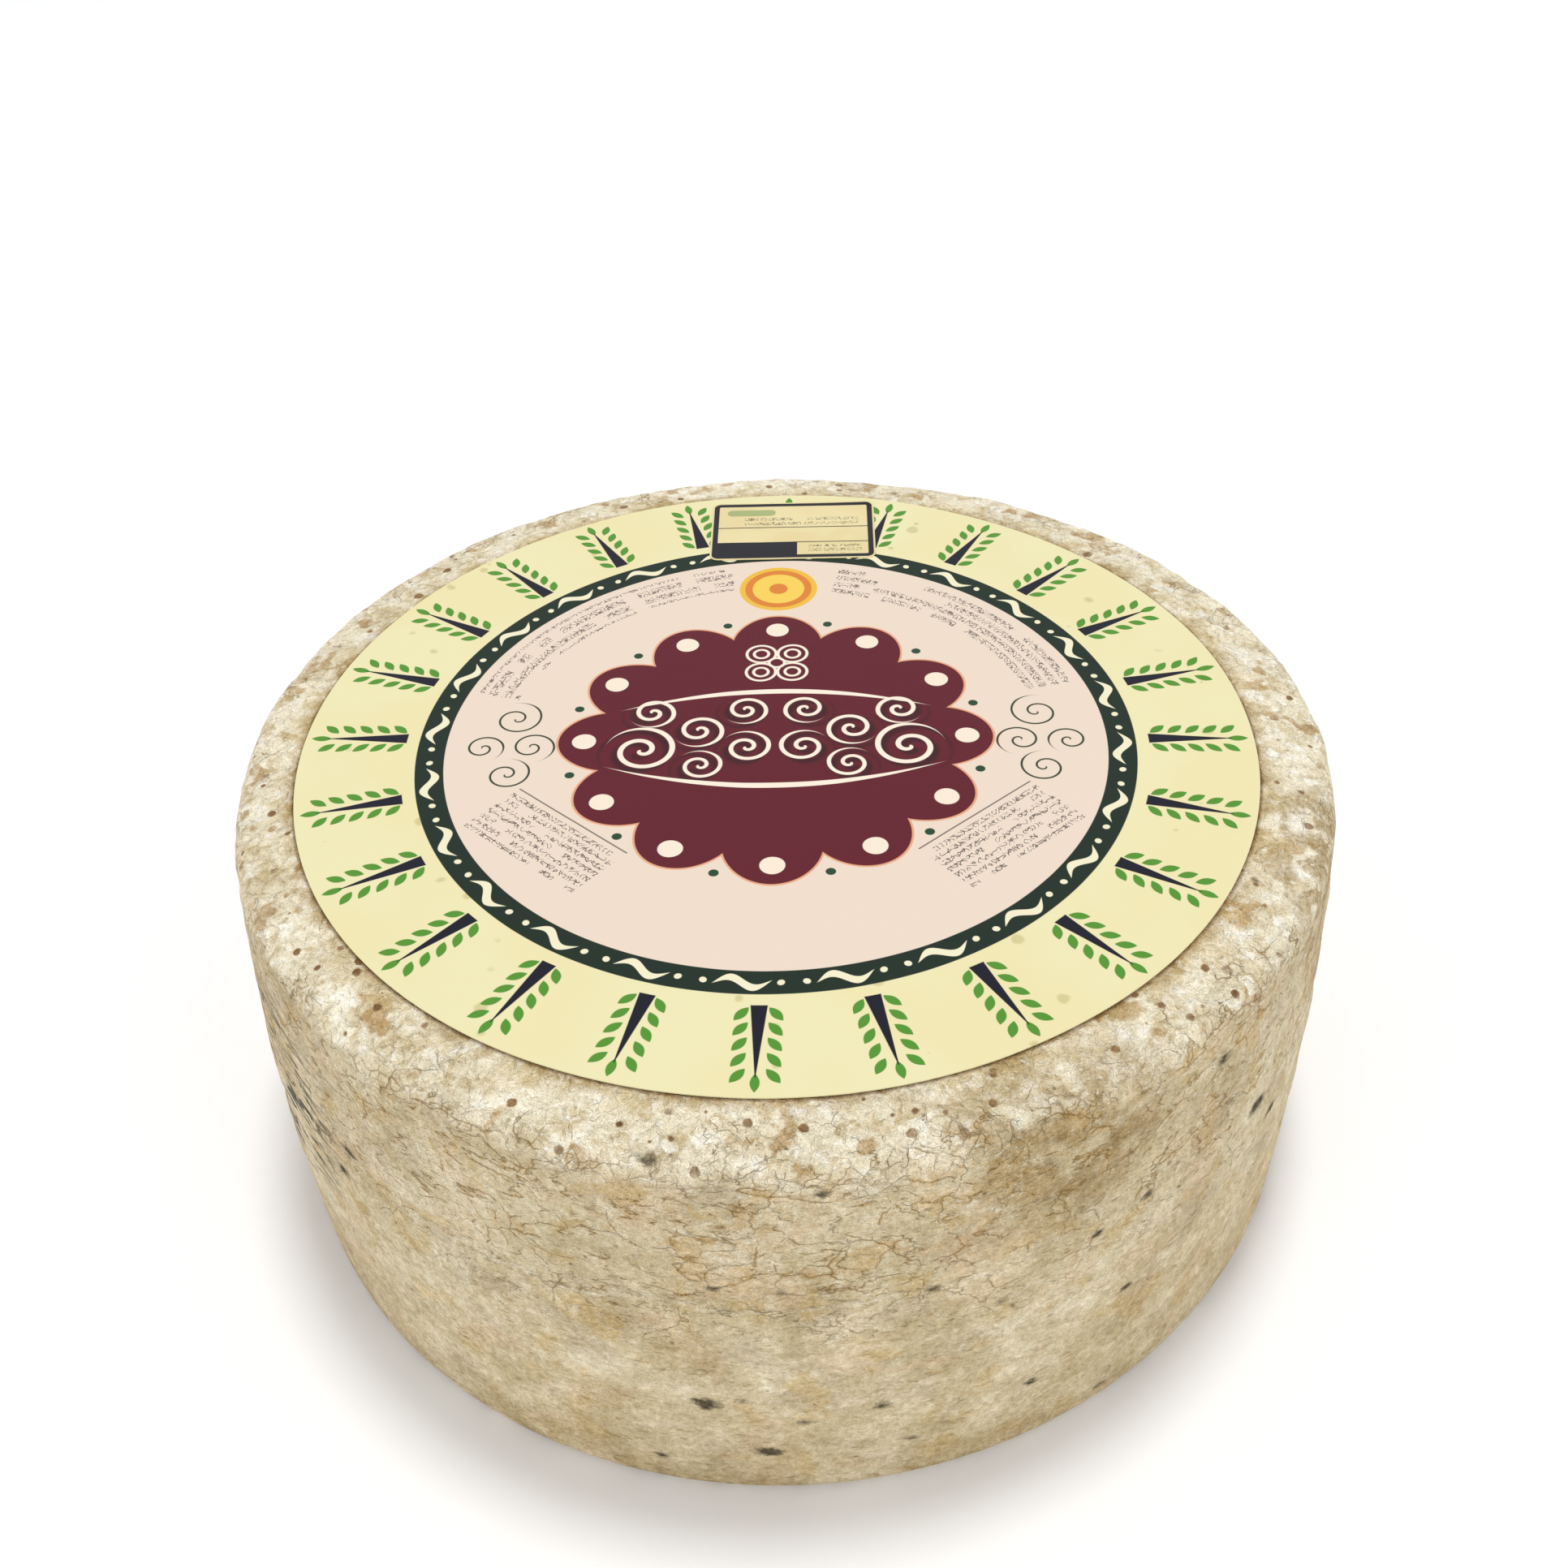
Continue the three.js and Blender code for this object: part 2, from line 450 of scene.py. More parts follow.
def warped(tree, place, size, reach):
    """The place, pushed about by up to reach, so that a pattern's edges wander."""
    push = add(tree, "TexNoise", {"Vector": place, "Scale": 1 / size, "Detail": 2.0})["Color"]
    centred = add(tree, "VectorMath", (push, (0.5, 0.5, 0.5)), operation="SUBTRACT")[0]
    return add(tree, "VectorMath", (centred, [2 * reach] * 3, place), operation="MULTIPLY_ADD")[0]


def scattered_spots(tree, place, pitch, radius, share, edge):
    """Round spots: one in some of the cells that are pitch apart, and up to radius large."""
    cells = add(tree, "TexVoronoi", {"Vector": place, "Scale": 1 / pitch})
    lot = add(tree, "SeparateColor", (cells["Color"],))[0]
    size = add(tree, "MapRange", (lot, 0.0, share, radius / pitch, 0.0))[0]
    inside = add(tree, "Math", (size, cells["Distance"]), operation="SUBTRACT")[0]
    return add(tree, "MapRange", (inside, 0.0, edge / pitch), interpolation_type="SMOOTHSTEP")[0]


def net(tree, place, size):
    """How far, in millimetres, a point is from a net of lines whose cells are about size across."""
    edges = add(tree, "TexVoronoi", {"Vector": place, "Scale": 1 / size}, feature="DISTANCE_TO_EDGE")[0]
    return add(tree, "Math", (edges, size), operation="MULTIPLY")[0]


def hairlines(tree, place, size):
    """About how far a point is from the nearest of some long, crinkled lines size apart, in millimetres."""
    haze = add(tree, "TexNoise", {"Vector": place, "Scale": 1 / size, "Detail": 5.0})[0]
    off_level = beyond(tree, haze, 0.5, 0.0)
    millimetres_per_level = 2.5 * size
    return add(tree, "Math", (off_level, millimetres_per_level), operation="MULTIPLY")[0]


def cracks(tree, away, width, where):
    """Lines this wide, thinner and fainter as where falls, so that they break off."""
    reach = add(tree, "Math", (where, width), operation="MULTIPLY")[0]
    return add(tree, "MapRange", (away, 0.0, reach, 1.0, 0.0), interpolation_type="SMOOTHSTEP")[0]


def on_side(angle, height):
    """A point just inside the wheel's side in millimetres, from its angle in degrees and its height."""
    turn = math.radians(angle)
    reach = WHEEL_RADIUS / MM - 1
    return reach * math.cos(turn), reach * math.sin(turn), height


def region(tree, place, angle, height, reach):
    """A soft-edged round area of the side: 1 out to 0.4 of reach, 0 at reach."""
    away = add(tree, "VectorMath", (place, on_side(angle, height)), operation="DISTANCE")["Value"]
    return add(tree, "MapRange", (away, reach, 0.4 * reach), interpolation_type="SMOOTHSTEP")[0]


def placed_spots(tree, place, squeeze):
    """The larger mould spots, where they are listed: how far a point is inside the nearest one.
    Place is squeezed by squeeze in height, so that the spots stretch along the side."""
    far_outside = -100.0
    depth = far_outside
    for angle, height, radius in MOULD_SPOTS:
        centre = on_side(angle, squeeze * height)
        away = add(tree, "VectorMath", (place, centre), operation="DISTANCE")["Value"]
        inside = add(tree, "Math", (radius, away), operation="SUBTRACT")[0]
        depth = add(tree, "Math", (inside, depth), operation="MAXIMUM")[0]
    return depth


def coated(tree, ground, coats):
    """Lays each coat over the ground in turn: its colour, where all of its masks together say. Inputs 6
    and 7 of a Mix node, and its output 2, are its colours."""
    for colour, *masks in coats:
        share = masks[0]
        for mask in masks[1:]:
            share = add(tree, "Math", (share, mask), operation="MULTIPLY")[0]
        ground = add(tree, "Mix", {0: share, 6: ground, 7: linear(colour)}, data_type="RGBA")[2]
    return ground


def even_noise(tree, place, size, detail):
    """Noise that is as strong in its finest grain as in its patches, as on a weathered surface."""
    settings = {"Vector": place, "Scale": 1 / size, "Detail": detail, "Roughness": 0.82}
    return add(tree, "TexNoise", settings)[0]


def wheel_zones(tree, place):
    """Masks for the parts of the wheel: the crust round the top edge and the rest of the side, the side's
    upper and lower part, its foot, two rings just outside the label, and a fine line there that is
    partly a grease stain and partly painted shade under the paper's edge."""
    parts = add(tree, "SeparateXYZ", (place,))
    wobble = add(tree, "TexNoise", {"Vector": place, "Scale": 1 / 9, "Detail": 5.0})[0]
    height = add(tree, "Math", (wobble, 14.0, parts["Z"]), operation="MULTIPLY_ADD")[0]
    flat_place = add(tree, "CombineXYZ", (parts["X"], parts["Y"], 0.0))[0]
    label_middle = (LABEL_CENTRE.x / MM, LABEL_CENTRE.y / MM, 0.0)
    from_middle = add(tree, "VectorMath", (flat_place, label_middle), operation="DISTANCE")["Value"]
    rim = LABEL_RADIUS / MM
    zones = {
        name: add(tree, "MapRange", (measure, none, full), interpolation_type="SMOOTHSTEP")[0]
        for name, measure, none, full in (
            ("crust", height, 90.0, 96.5),
            ("upper", height, 48.0, 84.0),
            ("low", height, 45.0, 10.0),
            ("foot", height, 14.0, 8.0),
            ("by_label", from_middle, rim + 8.0, rim + 0.5),
            ("at_label", from_middle, rim + 3.5, rim),
        )
    }
    zones["side"] = add(tree, "Math", (1.0, zones["crust"]), operation="SUBTRACT")[0]
    # A fine line just outside the label's rim: partly grease stain, partly painted shade under the paper's
    # edge.
    zones["label_line"] = add(tree, "MapRange", (from_middle, rim + 0.8, rim + 0.2))[0]
    return zones


def craze_cracks(tree, along, loose, ragged, zones):
    """The craze cracks high on the side: a mask for the lines and one for the stains beside them. Some lie
    in a net, the others are long hairlines, and both break off."""
    cracked = add(tree, "Math", (zones["upper"], zones["side"]), operation="MULTIPLY")[0]
    broken = add(tree, "Math", (clouds(tree, loose, 7, 0.48, 0.64, 5.0), cracked), operation="MULTIPLY")[0]
    crazed = add(tree, "Math", (clouds(tree, along, 4, 0.42, 0.62, 5.0), cracked), operation="MULTIPLY")[0]
    webs = net(tree, warped(tree, ragged, 4.0, 1.6), 8.5)
    lines = hairlines(tree, place_in_mm(tree, (1, 1, 2.4)), 12.0)
    masks = []
    line_widths, stain_widths = (0.24, 0.26), (1.2, 1.2)
    for web_width, line_width in (line_widths, stain_widths):
        in_net = cracks(tree, webs, web_width, broken)
        in_lines = cracks(tree, lines, line_width, crazed)
        masks.append(add(tree, "Math", (in_net, in_lines), operation="MAXIMUM")[0])
    return masks


def cloth_crease_and_highlight(tree, place):
    """The ridge that a fold of the cheesecloth left, wandering across the front of the side: a raised line
    whose pale colour is a painted highlight.
    """
    level = add(tree, "SeparateXYZ", (place,))["Z"]
    wander = add(tree, "TexNoise", {"Vector": place, "Scale": 1 / 24, "Detail": 4.0})[0]
    height = add(tree, "Math", (wander, 14.0, level), operation="MULTIPLY_ADD")[0]
    away = beyond(tree, height, 62.5, 0.0)
    ridge = add(tree, "MapRange", (away, 0.0, 0.7, 1.0, 0.0))[0]
    return add(tree, "Math", (ridge, region(tree, place, -102, 56, 75)), operation="MULTIPLY")[0]


def crust_wrinkles(tree, place, crust):
    """The fine net of wrinkles in the crust, much like wrinkled skin."""
    crumpled = warped(tree, warped(tree, place, 1.2, 0.5), 4.0, 1.5)
    return cracks(tree, net(tree, crumpled, 3.0), 0.5, crust)


def mottling(tree, along, loose, zones):
    """Coats for the side's soft patches: greyer, pinker, more ochre and paler, with painted shade that
    darkens the side towards the bottom, and browner at the foot.
    """
    return [
        ("#D8C8A2", clouds(tree, along, 26, 0.44, 0.62)),
        ("#C8B795", clouds(tree, loose, 11, 0.50, 0.66), 0.7),
        ("#D6BB94", clouds(tree, along, 16, 0.54, 0.66), 0.6),
        ("#CBAF79", clouds(tree, loose, 9, 0.54, 0.68), 0.7),
        ("#E2D3B1", clouds(tree, loose, 5, 0.56, 0.70), 0.7),
        # Painted shade: the side darker towards the bottom.
        ("#B59D70", zones["low"], 0.35),
        ("#A98F5F", zones["foot"], clouds(tree, along, 5, 0.44, 0.62), 0.7),
        ("#BE9C68", zones["upper"], clouds(tree, loose, 7, 0.56, 0.66), 0.6),
    ]


def crusting(tree, place, loose, wrinkles, zones):
    """Coats for the pale crust round the top edge, with brown patches, two of them at the front right
    partly a painted cast shadow, and stained beside the label.
    """
    crust = zones["crust"]
    label_side = warped(tree, place, 3.0, 1.4)
    return [
        ("#F7ECCE", crust),
        ("#E2D2AC", crust, clouds(tree, loose, 6, 0.50, 0.66)),
        ("#F9F2DE", crust, clouds(tree, loose, 3.5, 0.54, 0.66)),
        ("#CDAF78", wrinkles, clouds(tree, loose, 6, 0.44, 0.62), 0.5),
        ("#B58F55", crust, clouds(tree, loose, 8, 0.60, 0.66), 0.8),
        # Two patches at the front right of the crust: partly brown stain, partly a painted cast shadow.
        ("#A98E5E", region(tree, place, -64, 82, 26), clouds(tree, loose, 8, 0.36, 0.56), 0.85),
        ("#A98E5E", region(tree, place, -20, 87, 26), clouds(tree, loose, 5, 0.40, 0.56), 0.8),
        ("#D6BE88", zones["by_label"], clouds(tree, label_side, 7.0, 0.36, 0.58), 0.7),
        ("#A5834A", zones["at_label"], clouds(tree, loose, 5, 0.38, 0.58), 0.7),
    ]


def mould_spots(tree):
    """The larger mould spots where they are listed, ragged and drawn out along the side: a mask for
    their soft grey rims and one for their dark cores."""
    squeeze = 1.6
    frayed = warped(tree, warped(tree, place_in_mm(tree, (1, 1, squeeze)), 1.8, 1.3), 0.5, 0.35)
    depth = placed_spots(tree, frayed, squeeze)
    return [
        add(tree, "MapRange", (depth, none, full), interpolation_type="SMOOTHSTEP")[0]
        for none, full in ((-0.7, 0.5), (0.1, 1.1))
    ]


def grain_tone_and_shade(tree, colour, tone, grit):
    """Darkens and warms the colour where the grain is low, and lightens it where the grain is high: partly
    tone that differs at random, and partly painted shade in the grain's hollows and painted highlight on
    its high parts, as the same noise raises the bump.
    """
    speckle = add(tree, "Math", (grit, 0.5, tone), operation="MULTIPLY_ADD")[0]
    depth = add(tree, "MapRange", (speckle, 0.50, 1.00, 1.28, 0.60))[0]
    shade = add(tree, "MapRange", (speckle, 0.50, 1.00, 0.82, 1.28))[0]
    deepened = add(tree, "Gamma", (colour, depth))[0]
    return add(tree, "VectorMath", {0: deepened, "Scale": shade}, operation="SCALE")[0]


def fine_relief(tree, layers):
    """The normal of the finest relief, from (mask, how tall in millimetres) layers."""
    rise = 0.0
    for mask, tall in layers:
        rise = add(tree, "Math", (mask, tall, rise), operation="MULTIPLY_ADD")[0]
    return add(tree, "Bump", {"Strength": 1.0, "Distance": MM, "Height": rise})["Normal"]


def natural_rind():
    """Natural rind: the dried, rubbed outside of a hard cheese. It looks like old parchment, dull and
    mottled, with felt-like grain, craze cracks, a pale crust at the shoulder and mould spots."""
    material, tree, shader = new_material("natural_rind")
    place = place_in_mm(tree)
    along = place_in_mm(tree, (1, 1, 1.2))
    brushed = place_in_mm(tree, (1, 1, 4.0))
    rubbed = place_in_mm(tree, (1, 1, 7))
    loose = warped(tree, along, 5.0, 1.8)
    ragged = warped(tree, along, 1.6, 0.5)
    zones = wheel_zones(tree, place)

    tone = even_noise(tree, along, 14.0, 6.0)
    grit = even_noise(tree, place, 1.3, 2.0)
    crack_lines, crack_stains = craze_cracks(tree, along, loose, ragged, zones)
    # The cloth's crease: a raised ridge, painted pale as a painted highlight.
    crease_ridge_and_highlight = cloth_crease_and_highlight(tree, place)
    wrinkles = crust_wrinkles(tree, place, zones["crust"])
    dashes = clouds(tree, brushed, 3.0, 0.61, 0.70, 4.0)
    # Pale flakes high on the side: partly real chips of rind, partly painted highlight.
    flakes_and_highlights = clouds(tree, brushed, 1.6, 0.60, 0.68, 2.0)
    smears = clouds(tree, rubbed, 9.0, 0.53, 0.58, 4.0)
    spots, spot_cores = mould_spots(tree)
    specks = scattered_spots(tree, warped(tree, along, 2.0, 0.7), 12.0, 2.2, 0.15, 1.2)
    dots = scattered_spots(tree, warped(tree, place, 1.6, 0.35), 4.2, 1.3, 0.75, 0.35)
    pinholes = scattered_spots(tree, ragged, 2.6, 0.6, 0.16, 0.3)

    colour = coated(tree, linear("#D0BD94"), [
        *mottling(tree, along, loose, zones),
        *crusting(tree, place, loose, wrinkles, zones),
        ("#A5834B", dashes, zones["side"], 0.5),
        # Pale flakes: partly real chips, partly painted highlight.
        ("#E6DABB", flakes_and_highlights, zones["upper"], 0.7),
        ("#8A673F", dots, zones["crust"], clouds(tree, place, 30, 0.36, 0.48)),
        ("#B78F4D", crack_stains, clouds(tree, along, 4, 0.40, 0.60), 0.6),
        ("#80602E", crack_lines, 0.55),
        # Painted highlight: the pale line along the cloth's crease.
        ("#EBDFC0", crease_ridge_and_highlight, clouds(tree, brushed, 5, 0.40, 0.56), 0.5),
        ("#85704C", pinholes, 0.6),
        ("#5F533C", specks, 0.7),
        ("#4A4538", smears, region(tree, place, -150, 54, 30), 0.95),
        ("#75664A", spots, 0.65),
        ("#3A3120", spot_cores, 0.85),
        # The line at the label's rim: grease stain and painted shade under the paper's edge.
        ("#6B4A24", zones["label_line"], 0.75),
    ])
    # The colour, with painted shade in the grain's hollows and painted highlight on its high parts.
    tree.links.new(grain_tone_and_shade(tree, colour, tone, grit), shader.inputs["Base Color"])
    normal = fine_relief(tree, [
        (tone, 4.0), (grit, 0.25), (crack_lines, -0.25), (crack_stains, 0.2), (pinholes, -0.25),
        (dashes, -0.15), (flakes_and_highlights, 0.15), (wrinkles, -0.3), (crease_ridge_and_highlight, 0.5),
    ])
    tree.links.new(normal, shader.inputs["Normal"])
    shader.inputs["Roughness"].default_value = 0.78
    shader.inputs["Specular IOR Level"].default_value = 0.2
    return material


# ---------------------------------------------------------------- the print on the paper

def inked(tree, distance):
    """Where the ink is, from the distance in millimetres to a printed shape's edge, negative inside."""
    return add(tree, "MapRange", (distance, INK_SPREAD, -INK_SPREAD))[0]


def round_and_round(tree, angle, radius, count, shift=0.0):
    """The place in one sector as (radius, arc from its middle line), for a shape that repeats all round."""
    turned = add(tree, "Math", (angle, shift), operation="ADD")[0]
    half = math.pi / count
    folded = add(tree, "Math", (turned, half, -half), operation="WRAP")[0]
    arc_length = add(tree, "Math", (folded, radius), operation="MULTIPLY")[0]
    return add(tree, "CombineXYZ", (radius, arc_length, 0.0))[0]


def disc(tree, place, middle, radius):
    """The distance to a disc's edge."""
    away = add(tree, "VectorMath", (place, (*middle, 0.0)), operation="DISTANCE")["Value"]
    return add(tree, "Math", (away, radius), operation="SUBTRACT")[0]


def leaf(tree, place, middle, lean, half_length, half_width):
    """A pointed leaf, leaning by an angle in degrees from the X axis."""
    away = add(tree, "VectorMath", (place, (*middle, 0.0)), operation="SUBTRACT")[0]
    turn = math.radians(lean)
    ahead = (math.cos(turn), math.sin(turn), 0.0)
    aside = (-math.sin(turn), math.cos(turn), 0.0)
    length = add(tree, "VectorMath", (away, ahead), operation="DOT_PRODUCT")["Value"]
    width = add(tree, "VectorMath", (away, aside), operation="DOT_PRODUCT")["Value"]
    return blade(tree, length, width, half_length, half_width)


def blade(tree, length, width, half_length, half_width):
    """A stroke that is widest in its middle and runs out to a point at both ends."""
    square = add(tree, "Math", (length, length), operation="MULTIPLY")[0]
    narrowing = -half_width / half_length ** 2
    edge = add(tree, "Math", (square, narrowing, half_width), operation="MULTIPLY_ADD")[0]
    return beyond(tree, width, 0.0, edge)


def scroll(tree, place, middle, reach, gap, half_stroke):
    """A spiral line out to reach, with its turns gap apart. A negative gap winds the other way."""
    away = add(tree, "VectorMath", (place, (*middle, 0.0)), operation="SUBTRACT")[0]
    parts = add(tree, "SeparateXYZ", (away,))
    radius = add(tree, "VectorMath", (away,), operation="LENGTH")["Value"]
    angle = add(tree, "Math", (parts["Y"], parts["X"]), operation="ARCTAN2")[0]
    unwound = add(tree, "Math", (angle, gap / (2 * math.pi), radius), operation="MULTIPLY_ADD")[0]
    half_gap = abs(gap) / 2
    folded = add(tree, "Math", (unwound, half_gap, -half_gap), operation="WRAP")[0]
    line_edge = beyond(tree, folded, 0.0, half_stroke)
    round_edge = add(tree, "Math", (radius, reach), operation="SUBTRACT")[0]
    return add(tree, "Math", (line_edge, round_edge), operation="MAXIMUM")[0]


def nearest_of(tree, *distances):
    """The union of printed shapes."""
    result = distances[0]
    for distance in distances[1:]:
        result = add(tree, "Math", (result, distance), operation="MINIMUM")[0]
    return result


def scrolls(tree, place, listed):
    """The union of the listed spirals."""
    return nearest_of(tree, *[scroll(tree, place, *row) for row in listed])


def box_edge(tree, place, middle, half_size, corner=0.15):
    """The distance to a box, with its corners rounded."""
    away = add(tree, "VectorMath", (place, (*middle, 0.0)), operation="SUBTRACT")[0]
    folded = add(tree, "VectorMath", (away,), operation="ABSOLUTE")[0]
    core = (half_size[0] - corner, half_size[1] - corner, 0.0)
    past_core = add(tree, "VectorMath", (folded, core), operation="SUBTRACT")[0]
    outside = add(tree, "VectorMath", (past_core, (0.0, 0.0, 0.0)), operation="MAXIMUM")[0]
    reach = add(tree, "VectorMath", (outside,), operation="LENGTH")["Value"]
    return add(tree, "Math", (reach, corner), operation="SUBTRACT")[0]


def fine_print(tree, place, row_pitch, block):
    """Masks for rows of small squiggles that stand where small print would be, inside the block. They
    are drawn coarser than such print, so that they show."""
    haze = add(tree, "TexNoise", {"Vector": place, "Scale": 1 / 0.9, "Detail": 0.0})[0]
    squiggles = add(tree, "Math", (haze, 0.5, 0.055), operation="COMPARE")[0]
    words = add(tree, "VectorMath", (place, (3.3, row_pitch, 1.0)), operation="SNAP")[0]
    lot = add(tree, "TexWhiteNoise", {"Vector": words})[0]
    inked_word = add(tree, "Math", (lot, 0.14), operation="GREATER_THAN")[0]
    across = add(tree, "SeparateXYZ", (place,))["Y"]
    row = add(tree, "Math", (across, row_pitch, 0.0), operation="WRAP")[0]
    in_row = add(tree, "Math", (row, 0.5 * row_pitch, 0.32 * row_pitch), operation="COMPARE")[0]
    return squiggles, inked_word, in_row, inked(tree, block)


def paper_place(tree, middle):
    """The place on the paper in millimetres from its middle, with no height."""
    place = add(tree, "TexCoord", ())["Object"]
    flatten = (1 / MM, 1 / MM, 0.0)
    offset = (-middle.x / MM, -middle.y / MM, 0.0)
    return add(tree, "VectorMath", (place, flatten, offset), operation="MULTIPLY_ADD")[0]


def sprigs(tree, angle, radius):
    """The leaf sprigs round the outer ring: a dark tapering stem, and pairs of green leaves with one at
    the tip."""
    place = round_and_round(tree, angle, radius, SPRIGS, math.radians(1.3))
    arc_length = add(tree, "SeparateXYZ", (place,))["Y"]
    taper = add(tree, "MapRange", (radius, 72.3, 88.5, 1.45, 0.05))[0]
    stem_edge = beyond(tree, arc_length, 0.0, taper)
    stem_ends = beyond(tree, radius, 80.3, 8.0)
    stem = add(tree, "Math", (stem_edge, stem_ends), operation="MAXIMUM")[0]

    step = add(tree, "Math", (radius, LEAVES_START + LEAF_STEP, LEAVES_START), operation="WRAP")[0]
    aside = add(tree, "Math", (arc_length,), operation="ABSOLUTE")[0]
    leaf_place = add(tree, "CombineXYZ", (step, aside, 0.0))[0]
    pairs = leaf(tree, leaf_place, (74.3, 2.9), 38, 1.95, 0.85)
    pair_ends = beyond(tree, radius, 81.0, 8.5)
    pairs = add(tree, "Math", (pairs, pair_ends), operation="MAXIMUM")[0]
    tip = leaf(tree, place, (89.4, 0.0), 0, 2.0, 0.8)
    return stem, nearest_of(tree, pairs, tip)


def band_ornament(tree, angle, radius):
    """The swashes and the beads in the dark band."""
    place = round_and_round(tree, angle, radius, SPRIGS, math.radians(4.0))
    arc_length = add(tree, "SeparateXYZ", (place,))["Y"]
    turn = add(tree, "Math", (arc_length, 0.72), operation="MULTIPLY")[0]
    wave = add(tree, "Math", (turn,), operation="SINE")[0]
    off_middle = add(tree, "Math", (radius, BAND_MIDDLE), operation="SUBTRACT")[0]
    off_wave = add(tree, "Math", (wave, -1.15, off_middle), operation="MULTIPLY_ADD")[0]
    swash = blade(tree, arc_length, off_wave, 5.0, 0.95)
    both_ways = add(tree, "VectorMath", (place,), operation="ABSOLUTE")[0]
    beads = disc(tree, both_ways, (BAND_MIDDLE, 6.6), 0.65)
    return nearest_of(tree, swash, beads)


def rosette_coats(tree, angle, radius):
    """Coats for the dark red scalloped rosette: its orange outline, a cream dot in each lobe and a green
    dot between two lobes."""
    lobes = round_and_round(tree, angle, radius, LOBES)
    gaps = round_and_round(tree, angle, radius, LOBES, math.pi / LOBES)
    heart = add(tree, "Math", (radius, 33.0), operation="SUBTRACT")[0]
    edge = nearest_of(tree, disc(tree, lobes, (33.0, 0.0), 9.4), heart)
    outline = add(tree, "Math", (edge, 0.45), operation="SUBTRACT")[0]
    return [
        ("#E2A27C", inked(tree, outline)),
        ("#5F1322", inked(tree, edge)),
        ("#F1E2CC", inked(tree, disc(tree, lobes, (37.4, 0.0), 2.35))),
        ("#24452C", inked(tree, disc(tree, gaps, (40.6, 0.0), 0.95))),
    ]


def bows(tree, parts):
    """Two long bowed strokes, one under and one over the cream scrolls."""
    square = add(tree, "Math", (parts["X"], parts["X"]), operation="MULTIPLY")[0]
    strokes = []
    for level, curve, half_length in ((-14.5, 0.006, 32.0), (15.5, -0.006, 30.0)):
        middle = add(tree, "Math", (square, curve, level), operation="MULTIPLY_ADD")[0]
        off_middle = add(tree, "Math", (parts["Y"], middle), operation="SUBTRACT")[0]
        strokes.append(blade(tree, parts["X"], off_middle, half_length, 0.75))
    return nearest_of(tree, *strokes)


def ring_flower(tree, place):
    """A plain flower: four petals of two rings each, about a smaller ring."""
    away = add(tree, "VectorMath", (place, (0.0, 25.5, 0.0)), operation="SUBTRACT")[0]
    both_ways = add(tree, "VectorMath", (away,), operation="ABSOLUTE")[0]
    return nearest_of(tree, *[
        beyond(tree, disc(tree, both_ways, middle, size), 0.0, 0.3)
        for middle, size in (((3.2, 3.2), 3.0), ((3.2, 3.2), 1.5), ((0.0, 0.0), 1.6))
    ])


def flourish_coats(tree, place, parts, mirrored):
    """Coats for the cream scrolls, bows and flower over their soft shadow, and for the green scrolls."""
    flourish = nearest_of(
        tree, scrolls(tree, mirrored, CREAM_SCROLLS), bows(tree, parts), ring_flower(tree, place),
    )
    shadow_place = add(tree, "VectorMath", (mirrored, (-0.9, 1.1, 0.0)), operation="ADD")[0]
    shadow = scrolls(tree, shadow_place, CREAM_SCROLLS)
    return [
        ("#2A1014", add(tree, "MapRange", (shadow, 0.7, -0.2, 0.0, 0.7))[0]),
        ("#F3E6D2", inked(tree, flourish)),
        ("#2E3A22", inked(tree, scrolls(tree, mirrored, GREEN_SCROLLS))),
    ]


def small_print_coats(tree, angle, radius, mirrored):
    """Coats for the small print: two blocks that run round the pink disc, and on each side a slanted
    block with a rule over it."""
    arc_length = add(tree, "Math", (angle, 58.0), operation="MULTIPLY")[0]
    curved = add(tree, "CombineXYZ", (arc_length, radius, 0.0))[0]
    tilt = math.radians(41)
    ahead = (math.cos(tilt), math.sin(tilt), 0.0)
    aside = (-math.sin(tilt), math.cos(tilt), 0.0)
    along = add(tree, "VectorMath", (mirrored, ahead), operation="DOT_PRODUCT")["Value"]
    across = add(tree, "VectorMath", (mirrored, aside), operation="DOT_PRODUCT")["Value"]
    slanted = add(tree, "CombineXYZ", (along, across, 0.0))[0]
    rule = box_edge(tree, slanted, (12.5, -42.6), (14.5, 0.16))
    return [(PRINT_BLACK, *masks, 0.8) for masks in (
        fine_print(tree, curved, 2.9, box_edge(tree, curved, (134, 58.0), (33.0, 4.3))),
        fine_print(tree, curved, 2.6, box_edge(tree, curved, (47.5, 57.2), (31.0, 5.2))),
        fine_print(tree, slanted, 1.9, box_edge(tree, slanted, (12.5, -50.0), (14.5, 6.6))),
        (inked(tree, rule),),
    )]


def seal_coats(tree, place):
    """Coats for the plain two-tone disc, from its rim inwards."""
    return [
        (tint, inked(tree, disc(tree, place, (0.0, 53.2), size)))
        for size, tint in ((8.4, "#E9B93C"), (7.2, "#D9812F"), (5.6, "#F0CB56"), (2.0, "#D9812F"))
    ]


